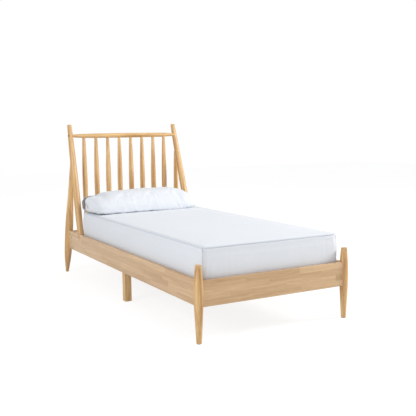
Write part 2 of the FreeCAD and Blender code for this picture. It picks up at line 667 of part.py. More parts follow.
def make_mattress():
    parts["mattress"] = mattress_form(0.0)
    cover = mattress_form(SOFT_GAP + SHEET_T).cut(mattress_form(SOFT_GAP))
    half_w = MATTRESS_W / 2 - SHEET_TUCK
    opening = box(-half_w, half_w, MATTRESS_Y + SHEET_TUCK, MATTRESS_Y + MATTRESS_L - SHEET_TUCK,
                  SLAT_TOP - SHEET_T, MATTRESS_Z + SHEET_T)
    parts["fitted_sheet"] = cover.cut(opening)


def tangent_middle(start, end, across):
    """Middle of the arc that leaves start level, along across, and rises to end."""
    out = abs(end.dot(across) - start.dot(across))
    rise = end.z - start.z
    radius = (out * out + rise * rise) / (2 * rise)
    half_turn = math.atan2(rise, out)
    lift = radius * (1 - math.cos(half_turn))
    return start + across * (radius * math.sin(half_turn)) + V(0, 0, lift)


def pillow_outline(x, depth, height, bottom, centre_y, grow):
    """One cross-section: flat underneath, drawn in to a seam at front and back, crowned."""
    half = depth / 2 + grow
    flat = half * PILLOW_FLAT_SHARE
    seam_z = bottom + grow + PILLOW_SEAM_SHARE * height
    front = V(x, centre_y - half, seam_z)
    back = V(x, centre_y + half, seam_z)
    crown = V(x, centre_y, bottom + height + 2 * grow)
    flat_front = V(x, centre_y - flat, bottom)
    flat_back = V(x, centre_y + flat, bottom)
    edges = [Part.LineSegment(flat_back, flat_front).toShape(),
             Part.Arc(flat_front, tangent_middle(flat_front, front, V(0, -1, 0)), front).toShape(),
             Part.Arc(front, crown, back).toShape(),
             Part.Arc(back, tangent_middle(flat_back, back, V(0, 1, 0)), flat_back).toShape()]
    return Part.Wire(edges)


def pillow_form(grow, bottom, start_x):
    """The pillow lofted across the bed, its full middle falling away to a thin right end.
    Its left end is cut off square at start_x."""
    stations = ((0.0, 0.84, 0.60), (0.08, 0.93, 0.72), (0.22, 0.99, 0.87), (0.40, 1.0, 0.96),
                (0.60, 1.0, 1.0), (0.78, 0.96, 0.92), (0.90, 0.82, 0.68), (0.97, 0.60, 0.38),
                (1.0, 0.45, 0.15))
    centre_y = MATTRESS_Y + MATTRESS_L - PILLOW_HEAD_INSET - PILLOW_D / 2
    outlines = []
    for share, depth, height in stations:
        x = PILLOW_LEFT + share * PILLOW_W
        if share == 0.0:
            x = x - PILLOW_TRIM
        if share == 1.0:
            x = x + grow
        outlines.append(pillow_outline(x, depth * PILLOW_D, height * PILLOW_H, bottom, centre_y, grow))
    form = Part.makeLoft(outlines, True, True)
    trim = box(PILLOW_LEFT - 10, start_x, centre_y - PILLOW_D, centre_y + PILLOW_D, bottom - 10,
               bottom + 2 * PILLOW_H)
    return form.cut(trim)


def make_pillow():
    """A pillow pushed into its case, whose open mouth is at the left."""
    case_bottom = SHEET_TOP + SOFT_GAP
    pillow_bottom = case_bottom + CASE_T + SOFT_GAP
    parts["pillow"] = pillow_form(0.0, pillow_bottom, PILLOW_LEFT + CASE_MOUTH)
    hollow = pillow_form(SOFT_GAP, pillow_bottom - SOFT_GAP, PILLOW_LEFT - PILLOW_TRIM)
    case = pillow_form(SOFT_GAP + CASE_T, case_bottom, PILLOW_LEFT)
    parts["pillowcase"] = case.cut(hollow)


# ---------------------------------------------------------------- finish
def shift_to_origin():
    """Move everything so that the origin is on the floor under the middle of the box."""
    leg = parts["back_leg_right"].optimalBoundingBox()
    foot = parts["foot_post_right"].optimalBoundingBox()
    middle = V(0, (leg.YMax + foot.YMin) / 2, 0)
    for name in parts:
        parts[name].translate(middle * -1)
    print("origin is", round(middle.y, 3), "mm behind the foot posts' axis")


make_rails()
make_top_rail()
make_foot_posts()
make_headboard_posts()
make_back_legs()
make_spindles()
make_middle_support()
make_ledges_and_blocks()
make_slats()
make_ledge_screws()
make_middle_screws()
make_head_bolts()
make_leg_top_screws()
make_foot_joints()
make_glides()
make_mattress()
make_pillow()
shift_to_origin()

os.makedirs("parts", exist_ok=True)
for name, shape in parts.items():
    solids = shape.Solids
    print(name, "solids", len(solids), "valid", shape.isValid(), "cm3", round(shape.Volume / 1000, 1))
    shape.exportStep("parts/%s.step" % name)
print(len(parts), "nodes")
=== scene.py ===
import math

import bmesh
import bpy
from mathutils import Matrix, Vector, noise


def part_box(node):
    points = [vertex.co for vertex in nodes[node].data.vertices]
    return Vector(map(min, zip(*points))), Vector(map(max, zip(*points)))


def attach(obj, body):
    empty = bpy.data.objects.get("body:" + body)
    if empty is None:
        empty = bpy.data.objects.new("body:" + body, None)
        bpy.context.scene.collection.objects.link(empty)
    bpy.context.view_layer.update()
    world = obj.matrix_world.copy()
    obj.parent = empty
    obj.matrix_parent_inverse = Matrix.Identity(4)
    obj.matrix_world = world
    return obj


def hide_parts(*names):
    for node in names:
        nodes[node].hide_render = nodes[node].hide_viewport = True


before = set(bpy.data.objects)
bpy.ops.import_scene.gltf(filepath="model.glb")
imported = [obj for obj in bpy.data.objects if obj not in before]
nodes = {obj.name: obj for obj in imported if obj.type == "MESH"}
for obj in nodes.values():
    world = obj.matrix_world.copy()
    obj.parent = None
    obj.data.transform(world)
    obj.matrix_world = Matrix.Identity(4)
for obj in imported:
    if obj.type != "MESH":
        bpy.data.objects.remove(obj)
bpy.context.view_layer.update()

# Looks of a single spindle bed. Lengths are in metres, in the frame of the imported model:
# +X across the bed, +Y from foot to head, +Z up.

RAIL_PALE = (0.73, 0.50, 0.285)
RAIL_DARK = (0.47, 0.27, 0.125)
TURNED_PALE = (0.92, 0.625, 0.295)
TURNED_DARK = (0.43, 0.205, 0.06)
SLAT_PALE = (0.74, 0.57, 0.37)
SLAT_DARK = (0.58, 0.40, 0.22)
COTTON = (0.795, 0.822, 0.868)
# Seam cord colour: a darker blue-grey than the sheet. It is painted shade for the shadow line under the
# sheet's top edge and down its corners.
SEAM_PAINTED_SHADE = (0.69, 0.73, 0.80)
TICKING = (0.60, 0.575, 0.55)
# Inner pillow colour: dark, as painted shade for the shadowed crescent inside the case's open end.
PILLOW_PAINTED_SHADE = (0.17, 0.14, 0.11)
STEEL = (0.45, 0.44, 0.43)
FELT = (0.10, 0.085, 0.075)
STRIPE = (0.30, 0.34, 0.42)

WAVE_SHARE = 0.159

STAVE_ROW = 0.0358
STAVE_LENGTH = 0.36
STAVE_ROW_START = 0.47
FINGER_STEP = 0.0024
GRAIN_STRETCH = 0.045
PORE_STRETCH = 0.09
TURNED_CONTRAST = 1.4
LEG_CONTRAST = 1.1
SLAT_CONTRAST = 0.8
SLAT_GLOSS = 0.62


# ---------------------------------------------------------------- places from the frame
def corner(node):
    low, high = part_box(node)
    return Vector(low), Vector(high)


def line_of(node):
    """Axis of a turned piece, from the middles of its lowest and highest slices."""
    points = [v.co for v in nodes[node].data.vertices]
    low = min(p.z for p in points)
    high = max(p.z for p in points)
    cut_low = low + 0.35 * (high - low)
    cut_high = high - 0.01 * (high - low)
    bottom = [p for p in points if abs(p.z - cut_low) < 0.1 * (high - low)]
    top = [p for p in points if p.z > cut_high]
    return sum(bottom, Vector()) / len(bottom), sum(top, Vector()) / len(top)


foot_low, foot_high = corner("foot_post_left")
FOOT_AXIS = Vector(((foot_low.x + foot_high.x) / 2, (foot_low.y + foot_high.y) / 2, 0))
mattress_low, mattress_high = corner("mattress")
sheet_low, sheet_high = corner("fitted_sheet")
case_low, case_high = corner("pillowcase")


# ---------------------------------------------------------------- camera
CAMERA_FROM_FOOT_POST = Vector((-1.663, -3.108, 1.124))
CAMERA_YAW = math.radians(29.06)
CAMERA_PITCH = math.radians(6.48)
CAMERA_ROLL = math.radians(-0.7012)
CAMERA_LENS = 59.3


def make_camera():
    ahead = Vector((math.sin(CAMERA_YAW) * math.cos(CAMERA_PITCH),
                    math.cos(CAMERA_YAW) * math.cos(CAMERA_PITCH),
                    -math.sin(CAMERA_PITCH)))
    level = Vector((math.cos(CAMERA_YAW), -math.sin(CAMERA_YAW), 0))
    upright = level.cross(ahead)
    right = level * math.cos(CAMERA_ROLL) + upright * math.sin(CAMERA_ROLL)
    up = upright * math.cos(CAMERA_ROLL) - level * math.sin(CAMERA_ROLL)
    data = bpy.data.cameras.new("camera")
    data.sensor_width = 36
    data.lens = CAMERA_LENS
    data.clip_end = 60
    camera = bpy.data.objects.new("camera", data)
    bpy.context.collection.objects.link(camera)
    turn = Matrix((right, up, -ahead)).transposed().to_4x4()
    camera.matrix_world = Matrix.Translation(FOOT_AXIS + CAMERA_FROM_FOOT_POST) @ turn
    bpy.context.scene.camera = camera


# ---------------------------------------------------------------- shader helpers
class Tree:
    """A material's node tree, built one node per call."""

    def __init__(self, name):
        self.material = bpy.data.materials.new(name)
        self.material.use_nodes = True
        self.tree = self.material.node_tree
        self.tree.nodes.clear()
        self.output = self.tree.nodes.new("ShaderNodeOutputMaterial")

    def add(self, kind, *values, out=0, **settings):
        """Adds a node. values fill its inputs in order, and None leaves one as it is."""
        node = self.tree.nodes.new("ShaderNode" + kind)
        for key, value in settings.items():
            setattr(node, key, value)
        for i, value in enumerate(values):
            if value is not None:
                self.fill(node.inputs[i], value)
        return node.outputs[out]

    def fill(self, socket, value):
        if isinstance(value, bpy.types.NodeSocket):
            self.tree.links.new(value, socket)
        elif socket.type == "RGBA" and len(value) == 3:
            socket.default_value = (*value, 1)
        else:
            socket.default_value = value

    def math(self, operation, a, b=None):
        return self.add("Math", a, b, operation=operation)

    def mix(self, factor, a, b):
        node = self.tree.nodes.new("ShaderNodeMix")
        node.data_type = "RGBA"
        self.fill(node.inputs[0], factor)
        self.fill(node.inputs[6], a)
        self.fill(node.inputs[7], b)
        return node.outputs[2]

    def ramp(self, factor, low, high):
        """Stretches low..high to 0..1 and clamps."""
        node = self.tree.nodes.new("ShaderNodeMapRange")
        node.clamp = True
        self.fill(node.inputs[0], factor)
        self.fill(node.inputs[1], low)
        self.fill(node.inputs[2], high)
        return node.outputs[0]

    def noise(self, vector, scale, detail=3.0, roughness=0.5, distortion=0.0):
        node = self.tree.nodes.new("ShaderNodeTexNoise")
        self.fill(node.inputs["Vector"], vector)
        self.fill(node.inputs["Scale"], scale)
        self.fill(node.inputs["Detail"], detail)
        self.fill(node.inputs["Roughness"], roughness)
        self.fill(node.inputs["Distortion"], distortion)
        return node.outputs[0]

    def random(self, value):
        node = self.tree.nodes.new("ShaderNodeTexWhiteNoise")
        node.noise_dimensions = "1D"
        self.fill(node.inputs["W"], value)
        return node.outputs["Value"]

    def bump(self, height, distance, strength=1.0, below=None):
        node = self.tree.nodes.new("ShaderNodeBump")
        self.fill(node.inputs["Strength"], strength)
        self.fill(node.inputs["Distance"], distance)
        self.fill(node.inputs["Height"], height)
        if below is not None:
            self.fill(node.inputs["Normal"], below)
        return node.outputs[0]

    def finish(self, colour, roughness, normal=None, **extra):
        shader = self.tree.nodes.new("ShaderNodeBsdfPrincipled")
        self.fill(shader.inputs["Base Color"], colour)
        self.fill(shader.inputs["Roughness"], roughness)
        if normal is not None:
            self.fill(shader.inputs["Normal"], normal)
        for name, value in extra.items():
            self.fill(shader.inputs[name.replace("_", " ")], value)
        self.tree.links.new(shader.outputs[0], self.output.inputs[0])
        return self.material


# ---------------------------------------------------------------- materials
def wood(name, along, pale, dark, staves=False, contrast=1.0, gloss=0.42):
    """Wood with its grain along a direction. Staved boards have rows of finger-jointed
    staves, each a little different in tone and grain."""
    t = Tree(name)
    place = t.add("TexCoord", out=3)
    lean = Vector(along).normalized().rotation_difference(Vector((0, 0, 1))).to_euler()
    turned = t.add("Mapping", place, None, tuple(lean), vector_type="POINT")
    split = t.tree.nodes.new("ShaderNodeSeparateXYZ")
    t.fill(split.inputs[0], turned)
    across, depth, length = split.outputs
    own = t.math("MULTIPLY", t.add("ObjectInfo", out=5), 61.0)
    tone = None
    joint = None
    if staves:
        height = t.tree.nodes.new("ShaderNodeSeparateXYZ")
        t.fill(height.inputs[0], place)
        row_place = t.math("DIVIDE", height.outputs[2], STAVE_ROW)
        row = t.math("FLOOR", t.math("ADD", row_place, STAVE_ROW_START))
        row_key = t.math("ADD", t.math("MULTIPLY", row, 3.17), own)
        slide = t.math("MULTIPLY", t.random(row_key), 7.0)
        wobble = t.math("PINGPONG", height.outputs[2], FINGER_STEP)
        run = t.math("ADD", t.math("DIVIDE", t.math("ADD", length, t.math("MULTIPLY", wobble, 3.0)),
                                   STAVE_LENGTH), slide)
        block = t.math("FLOOR", run)
        key = t.math("ADD", t.math("MULTIPLY", block, 5.31), row_key)
        tone = t.random(key)
        own = t.math("ADD", own, t.math("MULTIPLY", tone, 43.0))
        end = t.math("PINGPONG", run, 0.5)
        end_line = t.ramp(end, 0.0030, 0.0008)
        edge = t.math("PINGPONG", t.math("ADD", row_place, STAVE_ROW_START), 0.5)
        edge_line = t.ramp(edge, 0.016, 0.004)
        joint = t.math("MAXIMUM", t.math("MULTIPLY", end_line, 0.8), edge_line)
    shift = t.add("CombineXYZ", own, t.math("MULTIPLY", own, 0.7), t.math("MULTIPLY", own, 0.31))
    grain_place = t.add("CombineXYZ", across, depth, t.math("MULTIPLY", length, GRAIN_STRETCH))
    grain_place = t.add("VectorMath", grain_place, shift, operation="ADD")
    broad = t.noise(grain_place, 34.0, 3.0, 0.55, 0.9)
    fine = t.noise(grain_place, 260.0, 4.0, 0.6, 0.3)
    pore_place = t.add("CombineXYZ", across, depth, t.math("MULTIPLY", length, PORE_STRETCH))
    pore_place = t.add("VectorMath", pore_place, shift, operation="ADD")
    pores = t.ramp(t.noise(pore_place, 620.0, 2.0, 0.5), 0.60, 0.72)
    rings = t.math("PINGPONG", t.math("MULTIPLY", t.noise(grain_place, 13.0, 1.0, 0.5, 1.6), 9.0), 1.0)
    amount = t.math("ADD", t.math("MULTIPLY", t.ramp(broad, 0.33, 0.70), 0.42 * contrast),
                    t.math("MULTIPLY", t.ramp(fine, 0.30, 0.75), 0.26 * contrast))
    amount = t.math("ADD", amount, t.math("MULTIPLY", rings, 0.16 * contrast))
    if tone is not None:
        amount = t.math("ADD", amount, t.math("MULTIPLY", t.math("SUBTRACT", tone, 0.5), 0.34))
    colour = t.mix(t.ramp(amount, 0.05, 0.95), pale, dark)
    colour = t.mix(t.math("MULTIPLY", pores, 0.28), colour, tuple(c * 0.55 for c in dark))
    if joint is not None:
        colour = t.mix(t.math("MULTIPLY", joint, 0.38), colour, tuple(c * 0.6 for c in dark))
    rough = t.math("ADD", t.math("MULTIPLY", fine, 0.16), gloss - 0.06)
    height = t.math("SUBTRACT", t.math("MULTIPLY", fine, 0.5), t.math("MULTIPLY", pores, 0.8))
    if joint is not None:
        height = t.math("SUBTRACT", height, t.math("MULTIPLY", joint, 0.8))
    normal = t.bump(height, 0.00025, 0.5)
    return t.finish(colour, rough, normal, Coat_Weight=0.16, Coat_Roughness=0.30)


def cotton(name, colour, weave=0.0011, relief=0.00022, mottle=0.035, stripe=0.0):
    """Plain woven cotton: two crossed sets of threads, with slubs and a little mottling."""
    t = Tree(name)
    place = t.add("TexCoord", out=3)
    scale = 1.0 / weave
    warp, weft, rise = (t.add("TexWave", place, scale * WAVE_SHARE, 0.8, 2.0, bands_direction=axis, out=1)
                        for axis in "XYZ")
    threads = t.math("MAXIMUM", t.math("MAXIMUM", warp, weft), t.math("MULTIPLY", rise, 0.9))
    slub = t.noise(place, 240.0, 3.0, 0.6)
    soft = t.noise(place, 5.5, 2.0, 0.5, 0.4)
    shade = t.math("ADD", t.math("MULTIPLY", t.ramp(soft, 0.3, 0.7), mottle),
                   t.math("MULTIPLY", slub, mottle * 0.8))
    darker = tuple(c * 0.80 for c in colour)
    tint = t.mix(shade, colour, darker)
    if stripe:
        bands = t.add("TexWave", place, 11.0, 0.0, 0.0, bands_direction="Y", out=1)
        tint = t.mix(t.math("MULTIPLY", t.ramp(bands, 0.86, 0.93), stripe), tint, STRIPE)
    height = t.math("ADD", t.math("MULTIPLY", threads, 0.6), t.math("MULTIPLY", slub, 0.5))
    normal = t.bump(height, relief, 0.6)
    crumple = t.noise(place, 38.0, 3.0, 0.55, 0.5)
    normal = t.bump(crumple, 0.0012, 0.35, normal)
    rough = t.math("ADD", t.math("MULTIPLY", slub, 0.1), 0.82)
    return t.finish(tint, rough, normal, Sheen_Weight=0.18, Sheen_Roughness=0.55, Specular_IOR_Level=0.25)


def steel(name, colour):
    t = Tree(name)
    place = t.add("TexCoord", out=3)
    grain = t.noise(place, 900.0, 3.0, 0.6)
    cloud = t.noise(place, 70.0, 2.0, 0.5)
    tint = t.mix(t.math("MULTIPLY", cloud, 0.6), colour, tuple(c * 0.6 for c in colour))
    rough = t.math("ADD", t.math("MULTIPLY", grain, 0.25), 0.28)
    return t.finish(tint, rough, t.bump(grain, 0.00008, 0.5), Metallic=1.0)


def felt(name, colour):
    t = Tree(name)
    place = t.add("TexCoord", out=3)
    fibres = t.noise(place, 1400.0, 4.0, 0.7)
    tint = t.mix(fibres, tuple(c * 0.6 for c in colour), tuple(min(1, c * 1.5) for c in colour))
    return t.finish(tint, 0.95, t.bump(fibres, 0.0004, 0.8))


def give(node, material):
    data = nodes[node].data
    if not data.materials:
        data.materials.append(material)
    for i in range(len(data.materials)):
        data.materials[i] = material


def dress_frame():
    """Every wooden and steel piece of the frame gets its finish."""
    upright = (0, 0, 1)
    across = (1, 0, 0)
    long = (0, 1, 0)
    side_boards = wood("wood_side_rails", long, RAIL_PALE, RAIL_DARK, staves=True)
    cross_boards = wood("wood_cross_rails", across, RAIL_PALE, RAIL_DARK, staves=True)
    turned = wood("wood_turned", upright, TURNED_PALE, TURNED_DARK, contrast=TURNED_CONTRAST)
    cigar = wood("wood_top_rail", across, TURNED_PALE, TURNED_DARK, contrast=TURNED_CONTRAST)
    square = wood("wood_middle_legs", upright, TURNED_PALE, TURNED_DARK, contrast=LEG_CONTRAST)
    for side in ("left", "right"):
        give("side_rail_" + side, side_boards)
        give("foot_post_" + side, turned)
        give("middle_leg_" + side, square)
        for piece in ("headboard_post_", "back_leg_"):
            low, high = line_of(piece + side)
            tilted = wood("wood_" + piece + side, high - low, TURNED_PALE, TURNED_DARK,
                          contrast=TURNED_CONTRAST)
            give(piece + side, tilted)
    give("foot_rail", cross_boards)
    give("head_rail", cross_boards)
    give("headboard_top_rail", cigar)
    soft_across = wood("wood_slats", across, SLAT_PALE, SLAT_DARK, contrast=SLAT_CONTRAST, gloss=SLAT_GLOSS)
    soft_long = wood("wood_ledges", long, SLAT_PALE, SLAT_DARK, contrast=SLAT_CONTRAST, gloss=SLAT_GLOSS)
    soft_up = wood("wood_corner_blocks", upright, SLAT_PALE, SLAT_DARK, contrast=SLAT_CONTRAST,
                   gloss=SLAT_GLOSS)
    metal = steel("steel_zinc", STEEL)
    pads = felt("felt_glides", FELT)
    for node in nodes:
        if node.startswith("spindle_"):
            give(node, turned)
        elif node.startswith("slat_ledge_"):
            give(node, soft_long)
        elif node.startswith("slat_") and node != "slat_screws":
            give(node, soft_across)
        elif node.startswith("corner_block_") and node != "corner_block_screws":
            give(node, soft_up)
        elif node == "cross_beam":
            give(node, soft_across)
        elif node.endswith(("_screws", "_bolts", "_nuts", "_studs", "_washers")):
            give(node, metal)
        elif node == "foot_glides":
            give(node, pads)


# ---------------------------------------------------------------- mesh helpers
def link(name, mesh):
    thing = bpy.data.objects.new(name, mesh)
    bpy.context.collection.objects.link(thing)
    return thing


def make_mesh(name, points, faces, material):
    mesh = bpy.data.meshes.new(name)
    mesh.from_pydata(points, [], faces)
    mesh.validate()
    mesh.polygons.foreach_set("use_smooth", [True] * len(mesh.polygons))
    mesh.materials.append(material)
    return link(name, mesh)


def apply_modifiers(thing):
    """Bakes an object's modifiers into its mesh."""
    depsgraph = bpy.context.evaluated_depsgraph_get()
    done = bpy.data.meshes.new_from_object(thing.evaluated_get(depsgraph))
    thing.modifiers.clear()
    old = thing.data
    thing.data = done
    bpy.data.meshes.remove(old)


def subdivide(thing):
    modifier = thing.modifiers.new("subdivision", "SUBSURF")
    modifier.levels = 1
    modifier.render_levels = 1
    apply_modifiers(thing)


def smooth_step(low, high, value):
    share = min(1.0, max(0.0, (value - low) / (high - low)))
    return share * share * (3 - 2 * share)


def ripple(point, scale, seed=0.0):
    """Smooth noise from -1 to 1 that varies over about 1 / scale metres."""
    return noise.noise(Vector(point) * scale + Vector((seed, seed * 1.7, seed * 0.3)))


def tube(name, path, radius, material, closed=True, sides=8):
    """A round cord sewn along a line of points."""
    points = []
    faces = []
    count = len(path)
    for i, place in enumerate(path):
        before = path[(i - 1) % count] if closed or i else path[i]
        after = path[(i + 1) % count] if closed or i < count - 1 else path[i]
        run = (Vector(after) - Vector(before)).normalized()
        side = run.cross(Vector((0, 0, 1)))
        if side.length < 0.2:
            side = run.cross(Vector((0, 1, 0)))
        side.normalize()
        rise = side.cross(run)
        for j in range(sides):
            turn = 2 * math.pi * j / sides
            points.append(Vector(place) + (side * math.cos(turn) + rise * math.sin(turn)) * radius)
    for i in range(count if closed else count - 1):
        for j in range(sides):
            a = i * sides + j
            b = i * sides + (j + 1) % sides
            c = ((i + 1) % count) * sides + (j + 1) % sides
            d = ((i + 1) % count) * sides + j
            faces.append((a, b, c, d))
    return make_mesh(name, points, faces, material)


# ---------------------------------------------------------------- mattress and fitted sheet
MATTRESS_EDGE = 0.024
SIDE_BULGE = 0.003
CROWN = 0.008
CROWN_REACH = 0.19
SHEET_CORNER = 0.026
MATTRESS_CORNER = 0.055
SHEET_STEP = 0.016
SHEET_GROOVE = 0.003
SHEET_HEM = 0.11
EDGE_SEAM_TURN = 38
EDGE_SEAM_R = 0.0050
CORNER_SEAM_R = 0.0030
ELASTIC_R = 0.0016
ELASTIC_INSET = 0.137
BODY_SHRINK = Vector((0.004, 0.004, 0.002))
TAPE_R = 0.003
TAPE_RISE = 0.018
QUILT_PITCH = 0.11
QUILT_DEPTH = 0.0025


def round_corner(x, y, half_w, half_l, radius):
    """Moves a point on a sharp rectangle's outline onto the same outline with round corners."""
    cx = half_w - radius
    cy = half_l - radius
    over_x = abs(x) - cx
    over_y = abs(y) - cy
    if over_x <= 0 or over_y <= 0:
        return x, y
    if over_x > over_y:
        turn = math.radians(45) * over_y / max(over_x, 1e-9)
    else:
        turn = math.radians(90) - math.radians(45) * over_x / max(over_y, 1e-9)
    reach = max(over_x, over_y)
    nx = cx + reach * math.cos(turn)
    ny = cy + reach * math.sin(turn)
    return math.copysign(nx, x), math.copysign(ny, y)


def profile(height, groove):
    """Rings from the top edge down to the hem, each a drop below the top edge's level and how
    far the outline is drawn in there."""
    edge = MATTRESS_EDGE
    base = SIDE_BULGE + edge
    rings = []
    for turn in (75, 60, 45, 30, 15, 0):
        angle = math.radians(turn)
        rings.append((edge - edge * math.sin(angle), base - edge * math.cos(angle)))
    straight = height - 2 * edge
    steps = 11
    for i in range(1, steps):
        share = i / steps
        bulge = SIDE_BULGE * (1 - (2 * share - 1) ** 2)
        dip = groove * math.exp(-((share * straight - 0.012) / 0.008) ** 2)
        rings.append((edge + share * straight, base - edge - bulge + dip))
    for turn in (0, 22, 45, 67, 90):
        angle = math.radians(turn)
        rings.append((height - edge + edge * math.sin(angle), base - edge * math.cos(angle)))
    return rings


def soft_block(name, low, high, corner_r, hem, material, groove, relief):
    """A rounded block of cloth: a crowned top, rolled edges, sides and a turned-under hem.
    relief moves each point: it gets the point, its outward direction and where it is."""
    middle = (low + high) / 2
    half_w = (high.x - low.x) / 2
    half_l = (high.y - low.y) / 2
    top = high.z - CROWN
    base = SIDE_BULGE + MATTRESS_EDGE
    across = max(8, round(2 * (half_w - base) / SHEET_STEP / 2) * 2)
    along = max(8, round(2 * (half_l - base) / SHEET_STEP / 2) * 2)
    points = []
    faces = []
    places = []
    inner_w = half_w - base
    inner_l = half_l - base
    for j in range(along + 1):
        for i in range(across + 1):
            x = inner_w * (2 * i / across - 1)
            y = inner_l * (2 * j / along - 1)
            gap = min(inner_w - abs(x), inner_l - abs(y))
            share = min(1.0, gap / CROWN_REACH)
            radius = max(0.0, corner_r - gap)
            rx, ry = round_corner(x, y, inner_w - gap, inner_l - gap, min(radius, inner_w - gap)) \
                if radius > 0 else (x, y)
            points.append(Vector((middle.x + rx, middle.y + ry, top + CROWN * (1 - (1 - share) ** 2))))
            places.append(("top", gap))
    for j in range(along):
        for i in range(across):
            a = j * (across + 1) + i
            faces.append((a, a + 1, a + across + 2, a + across + 1))
    outline = [(i, 0) for i in range(across)] + [(across, j) for j in range(along)]
    outline += [(i, along) for i in range(across, 0, -1)] + [(0, j) for j in range(along, 0, -1)]
    ring = [j * (across + 1) + i for i, j in outline]
    count = len(ring)
    rings = profile(top - low.z, groove)
    for depth in hem:
        rings.append((top - low.z, base + depth))
    for drop, inset in rings:
        start = len(points)
        w = half_w - inset
        l = half_l - inset
        for i, j in outline:
            x = w * (2 * i / across - 1)
            y = l * (2 * j / along - 1)
            rx, ry = round_corner(x, y, w, l, corner_r)
            points.append(Vector((middle.x + rx, middle.y + ry, top - drop)))
            places.append(("hem" if inset > base else "side", drop))
        fresh = list(range(start, start + count))
        for k in range(count):
            n = (k + 1) % count
            faces.append((ring[n], ring[k], fresh[k], fresh[n]))
        ring = fresh
    thing = make_mesh(name, points, faces, material)
    mesh = thing.data
    directions = [v.normal.copy() for v in mesh.vertices]
    for v, direction, place in zip(mesh.vertices, directions, places):
        v.co += relief(v.co.copy(), direction, place)
    mesh.update()
    return thing


def sheet_relief(point, direction, place):
    """Soft undulations, tight creases that run from the corners, and fine vertical folds at
    the foot, as on a fitted sheet under tension."""
    kind, depth = place
    if kind == "hem":
        return Vector((ripple(point, 26) * 0.003, ripple(point, 26, 5) * 0.003, 0))
    corner_x = math.copysign(sheet_high.x, point.x)
    corner_y = sheet_low.y if point.y < (sheet_low.y + sheet_high.y) / 2 else sheet_high.y
    dx = point.x - corner_x
    dy = point.y - corner_y
    away = math.hypot(dx, dy)
    move = 0.0007 * ripple(point, 5.5) + 0.0004 * ripple(point, 14, 3)
    if kind == "top":
        fan = math.atan2(abs(dx), abs(dy))
        crease = math.sin(fan * 26 + 3.0 * ripple(point, 4, 9))
        move += 0.0011 * crease * math.exp(-away / 0.16) * smooth_step(0.0, 0.05, away)
        move += 0.0008 * ripple((point.x * 2.2, point.y * 9, 0), 1.0, 2) * smooth_step(0.02, 0.2, depth)
    else:
        end = abs(direction.y) > abs(direction.x)
        run = abs(dx) if end else abs(dy)
        fade = math.exp(-run / (0.15 if end else 0.12))
        folds = math.sin((run * 210 if end else run * 120) + 2.2 * ripple(point, 7, 4) - depth * 9)
        move += 0.0024 * folds * fade * smooth_step(0.012, 0.04, run) * smooth_step(0.0, 0.05, depth)
        move += 0.0009 * ripple((point.x * 9, point.y * 9, point.z * 3), 1.0, 8)
    return direction * move


def mattress_relief(point, direction, place):
    """Quilting: a diamond grid of stitched valleys on the top, plain sides."""
    kind, depth = place
    if kind != "top" or depth < 0.05:
        return Vector()
    a = abs(((point.x + point.y) / QUILT_PITCH) % 1 - 0.5)
    b = abs(((point.x - point.y) / QUILT_PITCH) % 1 - 0.5)
    return Vector((0, 0, -QUILT_DEPTH * (1 - smooth_step(0.0, 0.16, 0.5 - max(a, b)))))


def outline_path(low, high, inset, corner_r, z, step=0.02):
    """Points along a round-cornered rectangle."""
    middle = (low + high) / 2
    w = (high.x - low.x) / 2 - inset
    l = (high.y - low.y) / 2 - inset
    path = []
    for sx, sy, first in ((1, -1, -90), (1, 1, 0), (-1, 1, 90), (-1, -1, 180)):
        cx = middle.x + sx * (w - corner_r)
        cy = middle.y + sy * (l - corner_r)
        for turn in range(0, 91, 15):
            angle = math.radians(first + turn)
            path.append(Vector((cx + corner_r * math.cos(angle), cy + corner_r * math.sin(angle), z)))
        nx = {(1, -1): (0, 1), (1, 1): (-1, 0), (-1, 1): (0, -1), (-1, -1): (1, 0)}[(sx, sy)]
        length = 2 * (l if nx[1] else w) - 2 * corner_r
        steps = int(length / step)
        last = path[-1]
        for i in range(1, steps):
            path.append(last + Vector((nx[0], nx[1], 0)) * (length * i / steps))
    return path


def make_mattress_and_sheet():
    ticking = cotton("mattress_ticking", TICKING, weave=0.0016, stripe=0.35)
    linen = cotton("white_cotton_sheet", COTTON)
    seam_shade_cloth = cotton("seam_cotton_painted_shade", SEAM_PAINTED_SHADE)
    low = mattress_low + BODY_SHRINK
    high = mattress_high - BODY_SHRINK
    mattress = soft_block("mattress_body", low, high, MATTRESS_CORNER, (0.06, 0.14, 0.26, 0.40), ticking,
                          0.0, mattress_relief)
    fill_bottom(mattress)
    tape_line = outline_path(low, high, SIDE_BULGE + 0.004, MATTRESS_CORNER - 0.004,
                             mattress_low.z + TAPE_RISE)
    tape = tube("mattress_tape", tape_line, TAPE_R, ticking)
    for piece in (mattress, tape):
        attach(piece, "mattress")
    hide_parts("mattress")
    sheet = soft_block("fitted_sheet_cloth", sheet_low, sheet_high, SHEET_CORNER, (0.03, 0.07, SHEET_HEM),
                       linen, SHEET_GROOVE, sheet_relief)
    inset = SIDE_BULGE + MATTRESS_EDGE * (1 - math.cos(math.radians(EDGE_SEAM_TURN)))
    edge_z = sheet_high.z - CROWN - MATTRESS_EDGE * (1 - math.sin(math.radians(EDGE_SEAM_TURN)))
    edge_line = outline_path(sheet_low, sheet_high, inset - 0.0002, SHEET_CORNER - 0.002, edge_z)
    # The seams get the darker seam colour: painted shade along the top edge and down the corners.
    seams = [tube("fitted_sheet_edge_seam", edge_line, EDGE_SEAM_R, seam_shade_cloth)]
    for sx in (-1, 1):
        for sy in (-1, 1):
            seams.append(corner_seam(sx, sy, seam_shade_cloth))
    hem_line = outline_path(sheet_low, sheet_high, ELASTIC_INSET, SHEET_CORNER, sheet_low.z + ELASTIC_R)
    seams.append(tube("fitted_sheet_elastic", hem_line, ELASTIC_R, linen))
    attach(sheet, "mattress")
    for piece in seams:
        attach(piece, "mattress")
    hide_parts("fitted_sheet")


